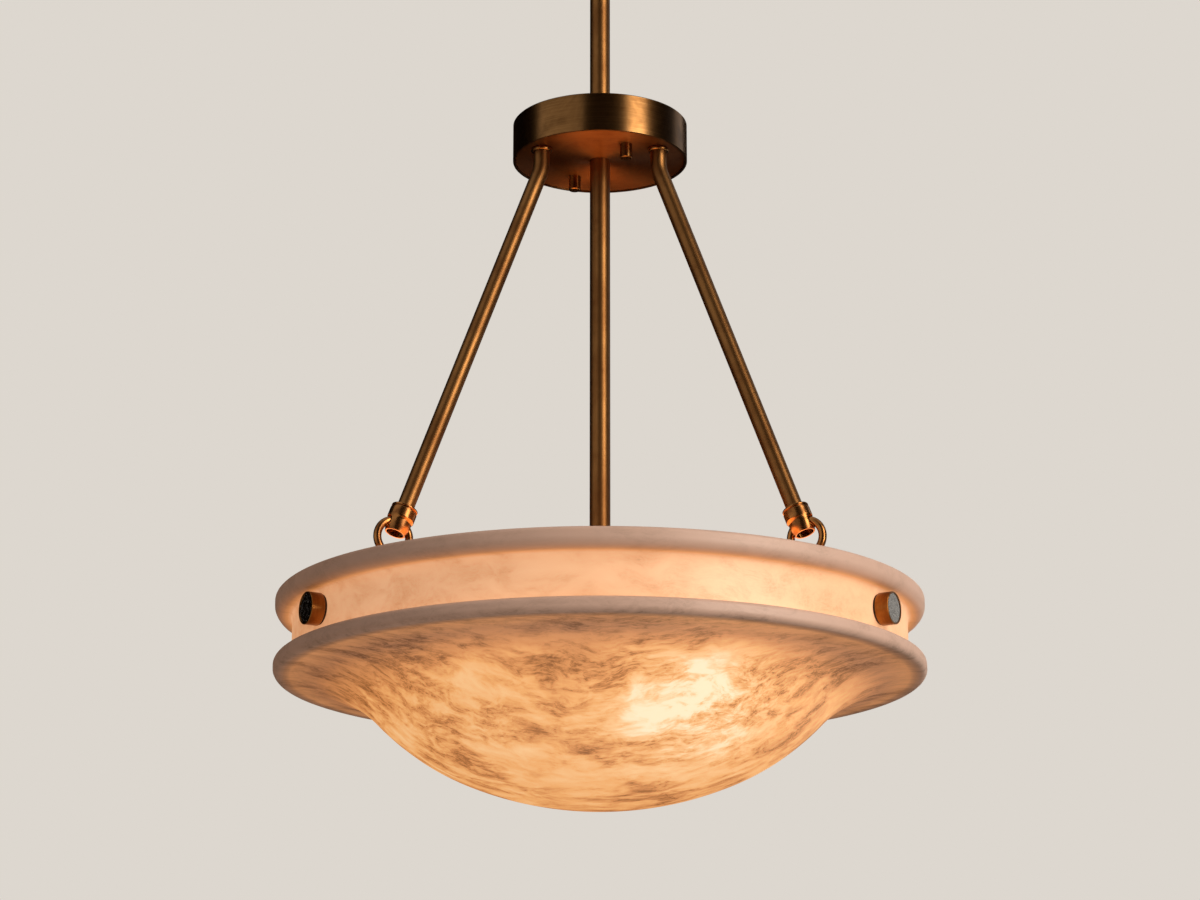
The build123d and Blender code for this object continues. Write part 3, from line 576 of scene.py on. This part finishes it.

    # painted light and shade in the base colour: the lit creamy stone turns grey-pink where the flanges
    # and cove stay unlit
    flangeEdge = ranged((radius, "Value"), flangeStart * mm, tone["flangeGreyR"] * mm)
    thickUnlit = addNode(tree, "ShaderNodeMath", {"operation": "MAXIMUM"},
                    {0: (flangeEdge, "Result"), 1: (cove, "Value")})
    body = addNode(tree, "ShaderNodeMix",
                   {"data_type": "RGBA", 6: linear(tone["pale"]), 7: linear(tone["rim"])},
                   {0: (thickUnlit, "Value")})
    base = addNode(tree, "ShaderNodeMix", {"data_type": "RGBA", 7: linear(tone["wisp"])},
                   {0: (wisps, "Value"), 6: (body, 2)})
    grain = addNode(tree, "ShaderNodeTexNoise", {"Scale": perMetre(tone["grainMm"]), "Detail": 3.0},
                    {"Vector": (coords, "Object")})
    bump = addNode(tree, "ShaderNodeBump", {"Strength": 0.12, "Distance": 0.1 * mm},
                   {"Height": (grain, "Fac")})
    rough = ranged((fibres, "Fac"), 0.0, 1.0, 0.42, 0.60, "LINEAR")
    shade(tree, {"IOR": 1.52, "Emission Strength": tone["glow"]},
          {"Base Color": (base, 2), "Emission Color": (glowHue, 2), "Roughness": (rough, "Result"),
           "Normal": (bump, "Normal")})
    return material


# the materials go on the CAD nodes
def dress(name, material):
    # one CAD node in its own material, with its round faces shaded smooth
    node = nodes[name]
    node.data.materials.clear()
    node.data.materials.append(material)
    node.data.shade_smooth()


def middle(name):
    low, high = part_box(name)
    return (low + high) / 2


hubBrass = agedBrassBrushed("agedBrassBrushedRound")
stemBrass = agedBrassBrushed("agedBrassBrushedLong", around=False, tone=tubeBrass)
plateBrass = agedBrassBrushed("agedBrassBrushedPlate", tone={
    **agedBrass, "metal": "#8f5a2c", "patina": "#6d3f1c", "roughness": (0.38, 0.48)})
for name in ("canopy", "hub_shell", "cluster_body", "cluster_cap", "swivel_washer", "swivel_ball",
             "strap_eyelet"):
    dress(name, hubBrass)
dress("hub_plate", plateBrass)
for name in ("upper_stem", "lower_stem"):
    dress(name, stemBrass)
trimBrass = brassPolished("brassPolishedDark",
                          {**polishedBrass, "metal": "#8f6537", "shade": "#5f4020"})
for name in ("hub_cap_nuts", "canopy_cap_nuts", "arm_collars", "stem_ring"):
    dress(name, trimBrass)
socketBrass = brassPolished("brassPolishedSocket",
                            {**polishedBrass, "metal": "#9c6a3a", "shade": "#6c4526"})
knobBrass = {**agedBrass, "metal": "#9c6833", "patina": "#7a4c22", "rubbed": "#b5824a"}
for side in sides:
    # the link swings on a line square to the arm, which gives the arm's own lean
    link = joints["link_swing_" + side]
    lean = math.asin(link["axis"][2])
    bearing = math.atan2(link["axis"][1], link["axis"][0])
    along = (-math.sin(lean) * math.cos(bearing), -math.sin(lean) * math.sin(bearing), math.cos(lean))
    dress("arm_" + side, agedBrassBrushed("agedBrassBrushedArm" + side.title(), middle("arm_" + side),
                                          along, around=False, tone=tubeBrass))
    dress("end_socket_" + side, socketBrass)
    dress("ring_" + side, socketBrass)
    knob = joints["knob_turn_" + side]
    dress("knob_" + side, agedBrassBrushed("brassSatinKnob" + side.title(), knob["pos_m"], knob["axis"],
                                           tone=knobBrass))
    dress("knob_face_" + side, steelPolishedMottled("steelPolishedMottled" + side.title()))
zinc = steelZincPlated("steelZincPlated")
for name in ("box_strap", "stud_strap", "hub_bar", "lock_nuts", "arm_nuts", "flat_washers", "bolt_nuts",
             "cluster_nut"):
    dress(name, zinc)
hangerBrass = agedBrassBrushed("agedBrassBrushedHanger")
gasket = fibreGasket("fibreGasketPressed")
dress("outer_gaskets", gasket)
dress("inner_gaskets", gasket)
resin = phenolicMoulded("phenolicResinMoulded")
capShell = steelZincPlated("nickelBrassRolled", {**zincSteel, "pale": "#d8d2c4", "grey": "#aaa392",
                                                 "roughness": (0.18, 0.3)})
for side in sides:
    dress("hanger_" + side, hangerBrass)
for side in lampSides:
    lamp = joints["lamp_turn_" + side]
    dress("lampholder_" + side, resin)
    dress("lamp_cap_" + side, capShell)
    dress("bulb_" + side, opalGlass("opalGlassBlown" + side.title(), middle("bulb_" + side),
                                    lamp["axis"]))
print("stage: materials on the CAD nodes")

# bowl, carved as a mesh with the tool's soft unevenness left in the stone
bowlSizes = {                     # millimetres
    "top": -593.0, "depth": 160.5, "wall": 13.0, "outerR": 254.0, "topFlangeR": 253.5, "neckR": 240.0,
    "topFlangeHeight": 15.0, "neckHeight": 35.0, "lowFlangeHeight": 12.0,
    "bellyR": 278.0, "shoulderR": 201.0, "shoulderDegrees": 23.0, "coveInset": 7.0,
    "cornerRun": 6.5,                 # from the inner corner's rounding to the start of the cove's arc
    "boltHoleR": 4.0, "boltHoleRun": 30.0,
    "boltHoleIn": 12.0,               # from the knob's seat in to the middle of that run
    "unevenness": 0.21, "unevennessAcross": 34.0,      # left by carving and honing by hand
    "trueInsideR": 243.0, "trueAboveZ": -656.0,        # neck and inside, which are turned true
    "mouthEdgeZ": -594.0,             # above this the mouth is flat
    "segments": 320, "longestRun": 3.0,
}


def bowlOutline(size):
    # outside from the bottom up, over the flanges and the mouth, and down the inside
    top, wall = size["top"], size["wall"]
    innerR = size["neckR"] - wall
    topUnder = top - size["topFlangeHeight"]
    lowTop = topUnder - size["neckHeight"]
    lowUnder = lowTop - size["lowFlangeHeight"]
    turn = math.radians(size["shoulderDegrees"])
    apart = size["bellyR"] - size["shoulderR"]
    belly = (0.0, top - size["depth"] + size["bellyR"])
    shoulder = (apart * math.sin(turn), belly[1] - apart * math.cos(turn))
    coveX = size["outerR"] - size["coveInset"]
    across, rise = coveX - shoulder[0], shoulder[1] - lowUnder
    coveR = (across ** 2 + rise ** 2 - size["shoulderR"] ** 2) / (2 * (size["shoulderR"] - rise))
    cove = (coveX, lowUnder - coveR)
    meet = math.degrees(math.atan2(cove[0] - shoulder[0], shoulder[1] - cove[1]))
    lean = math.degrees(math.asin((coveX - innerR) / (coveR + wall)))
    ledge = math.degrees(size["cornerRun"] / (coveR + wall))
    start = size["shoulderDegrees"] - 90
    outside = arcPoints(belly, size["bellyR"], -90, start, 40)
    outside += arcPoints(shoulder, size["shoulderR"], start, meet - 90, 34)[1:]
    outside += arcPoints(cove, coveR, 90 + meet, 90, 30)[1:]
    inside = arcPoints(cove, coveR + wall, 90 + lean + ledge, 90 + meet, 24)
    inside += arcPoints(shoulder, size["shoulderR"] - wall, meet - 90, start, 28)[1:]
    inside += arcPoints(belly, size["bellyR"] - wall, start, -90, 30)[1:]
    corner = (innerR, cove[1] + (coveR + wall) * math.cos(math.radians(lean)), 6.0)
    flanges = roundedOutline([
        (coveX, lowUnder, 0), (size["outerR"], lowUnder, 5.0), (size["outerR"], lowTop, 4.0),
        (size["neckR"], lowTop, 3.0), (size["neckR"], topUnder, 3.0),
        (size["topFlangeR"], topUnder, 8.0), (size["topFlangeR"], top, 3.0),
        (innerR, top, 4.0), corner, (*inside[0], 0)], steps=8)
    return outside[:-1] + divided(flanges, size["longestRun"]) + inside[1:]


def carvedLift(place):
    # hand carving on the belly, the cove and the flange edges; the neck and the inside are turned true
    inside = math.hypot(place.x, place.y) < bowlSizes["trueInsideR"]
    if inside and place.z > bowlSizes["trueAboveZ"] or place.z > bowlSizes["mouthEdgeZ"]:
        return 0
    spot = place / bowlSizes["unevennessAcross"]
    return bowlSizes["unevenness"] * (noise.noise(spot) + 0.4 * noise.noise(spot * 2.7))


bowlMesh = turnedMesh(bowlOutline(bowlSizes), bowlSizes["segments"], carvedLift)
bowl = newPiece("alabasterBowl", bowlMesh, "bowl", alabasterHoned("alabasterHonedLit"),
                "bowl", creaseDegrees=60)
drill = bmesh.new()
holeR = bowlSizes["boltHoleR"] * mm
for side in sides:
    knob = joints["knob_turn_" + side]
    outwards = Vector(knob["axis"])
    middleOfHole = Vector(knob["pos_m"]) - outwards * bowlSizes["boltHoleIn"] * mm
    place = Matrix.Translation(middleOfHole) @ outwards.to_track_quat("Z", "Y").to_matrix().to_4x4()
    bmesh.ops.create_cone(drill, cap_ends=True, segments=40, radius1=holeR, radius2=holeR,
                          depth=bowlSizes["boltHoleRun"] * mm, matrix=place)
drillMesh = bpy.data.meshes.new("drill")
drill.to_mesh(drillMesh)
drill.free()
driller = bpy.data.objects.new("drill", drillMesh)
bpy.context.scene.collection.objects.link(driller)
cut = bowl.modifiers.new("boltHoles", "BOOLEAN")
cut.object, cut.operation, cut.solver = driller, "DIFFERENCE", "EXACT"
with bpy.context.temp_override(object=bowl, active_object=bowl):
    bpy.ops.object.modifier_apply(modifier=cut.name)
bpy.data.objects.remove(driller)
print("stage: bowl carved,", len(bowl.data.polygons), "faces")

# threads, which the CAD rods leave plain
up = Vector((0, 0, 1))
knobLines = [Vector(joints["knob_turn_" + side]["axis"]) for side in sides]
lampLines = [Vector(joints["lamp_turn_" + side]["axis"]) for side in lampSides]
capNutDegrees = 120               # the cap nuts and their studs stand on this line through the stem
nutLines = [Vector((math.cos(turn), math.sin(turn), 0))
            for turn in (math.radians(capNutDegrees), math.radians(capNutDegrees + 180))]
threads = {
    # CAD node: pitch, depth and bore in mm, where its rods stand round the stem, if they are upright
    "knob_bolts": (1.0, 0.50, 0.0, knobLines, False),
    "canopy_studs": (0.8, 0.40, 0.0, nutLines, True),
    "hub_studs": (0.8, 0.40, 0.0, nutLines, True),
    "stem_nipple": (1.4, 0.60, 9.0, [up], True),
    "arm_nipples": (0.95, 0.45, 6.8, knobLines, True),
    "side_nipples": (0.95, 0.45, 6.4, lampLines, False),
}
cutSteps = {"around": 28, "perPitch": 5, "runInMm": 0.6}


def threadedRod(made, start, axis, length, radius, pitch, depth, bore):
    # a rod or tube with a helical thread cut into it from its full radius, with tapered ends
    place = Matrix.Translation(start) @ axis.to_track_quat("Z", "Y").to_matrix().to_4x4()
    around = cutSteps["around"]

    def ringOf(z, reaches):
        turns = [2 * math.pi * k / around for k in range(around)]
        return [made.verts.new(place @ Vector((reach * math.cos(turn), reach * math.sin(turn), z)))
                for turn, reach in zip(turns, reaches)]

    levels = max(6, round(length / pitch * cutSteps["perPitch"]))
    rings = []
    for i in range(levels + 1):
        z = length * i / levels
        taper = max(0.0, cutSteps["runInMm"] * mm - min(z, length - z))
        reaches = []
        for k in range(around):
            phase = (z / pitch - k / around) % 1.0
            groove = depth * (1 - abs(2 * phase - 1))
            reaches.append(min(radius - groove, radius - taper))
        rings.append(ringOf(z, reaches))
    if bore:
        rings += [ringOf(z, [bore / 2] * around) for z in (length, 0.0)] + [rings[0]]
    else:
        made.faces.new(rings[0][::-1])
        made.faces.new(rings[-1])
    for low, high in zip(rings, rings[1:]):
        for k in range(around):
            ahead = (k + 1) % around
            made.faces.new((low[k], low[ahead], high[ahead], high[k]))


def rodPlaces(name, lines, upright):
    # start, axis, length and radius of each rod of a CAD node, measured on its own vertices
    groups = [[] for line in lines]
    for vertex in nodes[name].data.vertices:
        nearest = max(range(len(lines)), key=lambda k: lines[k].dot(vertex.co))
        groups[nearest].append(vertex.co.copy())
    found = []
    for line, group in zip(lines, groups):
        axis = up if upright else line
        turn = axis.to_track_quat("Z", "Y").to_matrix()
        local = [turn.inverted() @ point for point in group]
        low = Vector([min(point[i] for point in local) for i in range(3)])
        high = Vector([max(point[i] for point in local) for i in range(3)])
        start = turn @ Vector(((low.x + high.x) / 2, (low.y + high.y) / 2, low.z))
        found.append((start, axis, high.z - low.z, (high.x - low.x) / 2))
    return found


for name, (pitch, depth, bore, lines, upright) in threads.items():
    rods = bmesh.new()
    for start, axis, length, radius in rodPlaces(name, lines, upright):
        threadedRod(rods, start, axis, length, radius, pitch * mm, depth * mm, bore * mm)
    bmesh.ops.recalc_face_normals(rods, faces=rods.faces)
    newPiece(name + "_threaded", rods, bodyOf(name), zinc, name)
dress("ground_screw", zinc)
print("stage: threads cut")

# floor, background and light
studio = {
    "floorDrop": 4.4,             # metres below the ceiling, so that the bowl shows from underneath
    "floorSize": 60,
    "floor": "#e4dfd8",
    "floorCloud": "#dad4cc",
    "floorCloudMm": 500,
    "floorShown": 0.72,           # the paleness that the floor shows where little light falls on it
    "background": "#ddd7cf",
    "backgroundStrength": 1.0,
    "room": "#fff8f0",
    "roomStrength": 0.20,
    "lightsAimAt": (0, 0, -0.45),
}


def seenDirectly(tree):
    # 1 where the camera sees the surface or the room, also in metal or through glass
    path = addNode(tree, "ShaderNodeLightPath")
    seen = addNode(tree, "ShaderNodeMath", {"operation": "MAXIMUM"},
                   {0: (path, "Is Camera Ray"), 1: (path, "Is Glossy Ray")})
    return addNode(tree, "ShaderNodeMath", {"operation": "MAXIMUM"},
                   {0: (seen, "Value"), 1: (path, "Is Transmission Ray")})


bpy.ops.mesh.primitive_plane_add(size=studio["floorSize"], location=(0, 0, -studio["floorDrop"]))
floor = bpy.context.object
floor.name = "studioFloor"
material, tree = newMaterial("plasterTrowelledPale")     # pale plaster: dull, faintly clouded
coords = addNode(tree, "ShaderNodeTexCoord")
trowel = addNode(tree, "ShaderNodeTexNoise", {"Scale": perMetre(studio["floorCloudMm"]), "Detail": 4.0},
                 {"Vector": (coords, "Object")})
tint = addNode(tree, "ShaderNodeMix", {"data_type": "RGBA", 6: linear(studio["floor"]),
                                       7: linear(studio["floorCloud"])}, {0: (trowel, "Fac")})
shown = addNode(tree, "ShaderNodeMath", {"operation": "MULTIPLY", 1: studio["floorShown"]},
                {0: (seenDirectly(tree), "Value")})
shade(tree, {"Roughness": 0.9}, {"Base Color": (tint, 2), "Emission Color": (tint, 2),
                                 "Emission Strength": (shown, "Value")})
floor.data.materials.append(material)

world = bpy.data.worlds.new("studioWorld")
bpy.context.scene.world = world
world.use_nodes = True
tree = world.node_tree
tree.nodes.clear()
room = addNode(tree, "ShaderNodeBackground", {"Color": linear(studio["room"]),
                                              "Strength": studio["roomStrength"]})
back = addNode(tree, "ShaderNodeBackground", {"Color": linear(studio["background"]),
                                              "Strength": studio["backgroundStrength"]})
mixed = addNode(tree, "ShaderNodeMixShader", links={0: (seenDirectly(tree), "Value"),
                                                    1: (room, "Background"), 2: (back, "Background")})
addNode(tree, "ShaderNodeOutputWorld", links={"Surface": (mixed, "Shader")})


def softLight(name, shape, size, power, colour, place, turn):
    light = bpy.data.lights.new(name, "AREA")
    light.shape = shape
    light.size, light.size_y = size
    light.energy = power
    light.color = linear(colour)[:3]
    lightObject = bpy.data.objects.new(name, light)
    lightObject.location, lightObject.rotation_euler = place, turn
    lightObject.visible_camera = False
    bpy.context.scene.collection.objects.link(lightObject)


softboxes = {
    # bearing from the front in degrees (right is positive), distance and height m, width and drop m,
    # power W, colour
    "keyRight": (50, 2.6, 0.1, (1.0, 3.0), 74, "#fff1e0"),
    "edgeRight": (150, 2.6, 0.1, (0.6, 2.8), 20, "#fff1e0"),
    "fillLeft": (-57, 2.6, 0.2, (2.8, 4.2), 2.4, "#fff4e8"),
}
for name, (bearing, distance, height, size, power, colour) in softboxes.items():
    turn = math.radians(bearing)
    place = Vector((distance * math.sin(turn), -distance * math.cos(turn), height))
    aim = Vector(studio["lightsAimAt"]) - place
    softLight(name, "RECTANGLE", size, power, colour, place, aim.to_track_quat("-Z", "Y").to_euler())

# the lamps' own light, which comes out of the bowl's mouth and warms the brass above it
mouthGlow = {"width": 0.38, "power": 1.6, "colour": "#ffb074", "above": 0.004}
softLight("mouthGlow", "DISK", (mouthGlow["width"],) * 2, mouthGlow["power"], mouthGlow["colour"],
          (0, 0, bowlSizes["top"] * mm + mouthGlow["above"]), (math.pi, 0, 0))

# black cards that only the metal sees, as a photographer sets them round brass to give it dark bands
cards = {
    "distance": 2.3, "lowest": -2.5, "highest": 2.6,         # metres
    "strips": 12,
    "felt": "#0d0907", "nap": "#1a130e",
    "napMm": 3.3,                 # coarser than real felt, which is too fine to show
}
cardBearings = {
    # from and to, in degrees round from the front
    "cardFront": (-22, 32),
    "cardRight": (63, 117),
    "cardLeft": (-88, -164),
    "cardBack": (138, 196),
}
cardPaint, tree = newMaterial("cardFeltBlack")           # black felt on a card: takes the light out
coords = addNode(tree, "ShaderNodeTexCoord")
nap = addNode(tree, "ShaderNodeTexNoise", {"Scale": perMetre(cards["napMm"]), "Detail": 2.0},
              {"Vector": (coords, "Object")})
felt = addNode(tree, "ShaderNodeMix", {"data_type": "RGBA", 6: linear(cards["felt"]),
                                       7: linear(cards["nap"])}, {0: (nap, "Fac")})
shade(tree, {"Roughness": 0.95, "Specular IOR Level": 0.1}, {"Base Color": (felt, 2)})
for name, (start, end) in cardBearings.items():
    sheet = bmesh.new()
    rows = []
    for k in range(cards["strips"] + 1):
        turn = math.radians(start + (end - start) * k / cards["strips"])
        x, y = cards["distance"] * math.sin(turn), -cards["distance"] * math.cos(turn)
        rows.append([sheet.verts.new((x, y, z)) for z in (cards["lowest"], cards["highest"])])
    for here, ahead in zip(rows, rows[1:]):
        sheet.faces.new((here[0], ahead[0], ahead[1], here[1]))
    mesh = bpy.data.meshes.new(name)
    sheet.to_mesh(mesh)
    sheet.free()
    mesh.materials.append(cardPaint)
    card = bpy.data.objects.new(name, mesh)
    bpy.context.scene.collection.objects.link(card)
    card.visible_camera = card.visible_diffuse = card.visible_shadow = False
    card.visible_transmission = False
print("stage: studio ready")

# camera, fitted to the rims and hub of the pendant
viewpoint = {"place": (0.0, -2.2528, -1.1003), "upDegrees": 15.70, "lens": 88.08, "sensorWidth": 36.0,
             "farthest": 50}
cameraData = bpy.data.cameras.new("camera")
cameraData.lens, cameraData.sensor_width = viewpoint["lens"], viewpoint["sensorWidth"]
cameraData.sensor_fit = "HORIZONTAL"
cameraData.clip_end = viewpoint["farthest"]
camera = bpy.data.objects.new("camera", cameraData)
camera.location = viewpoint["place"]
camera.rotation_euler = Euler((math.radians(90 + viewpoint["upDegrees"]), 0, 0))
bpy.context.scene.collection.objects.link(camera)
bpy.context.scene.camera = camera
bpy.context.scene.view_settings.view_transform = "Standard"

print("stage: done")
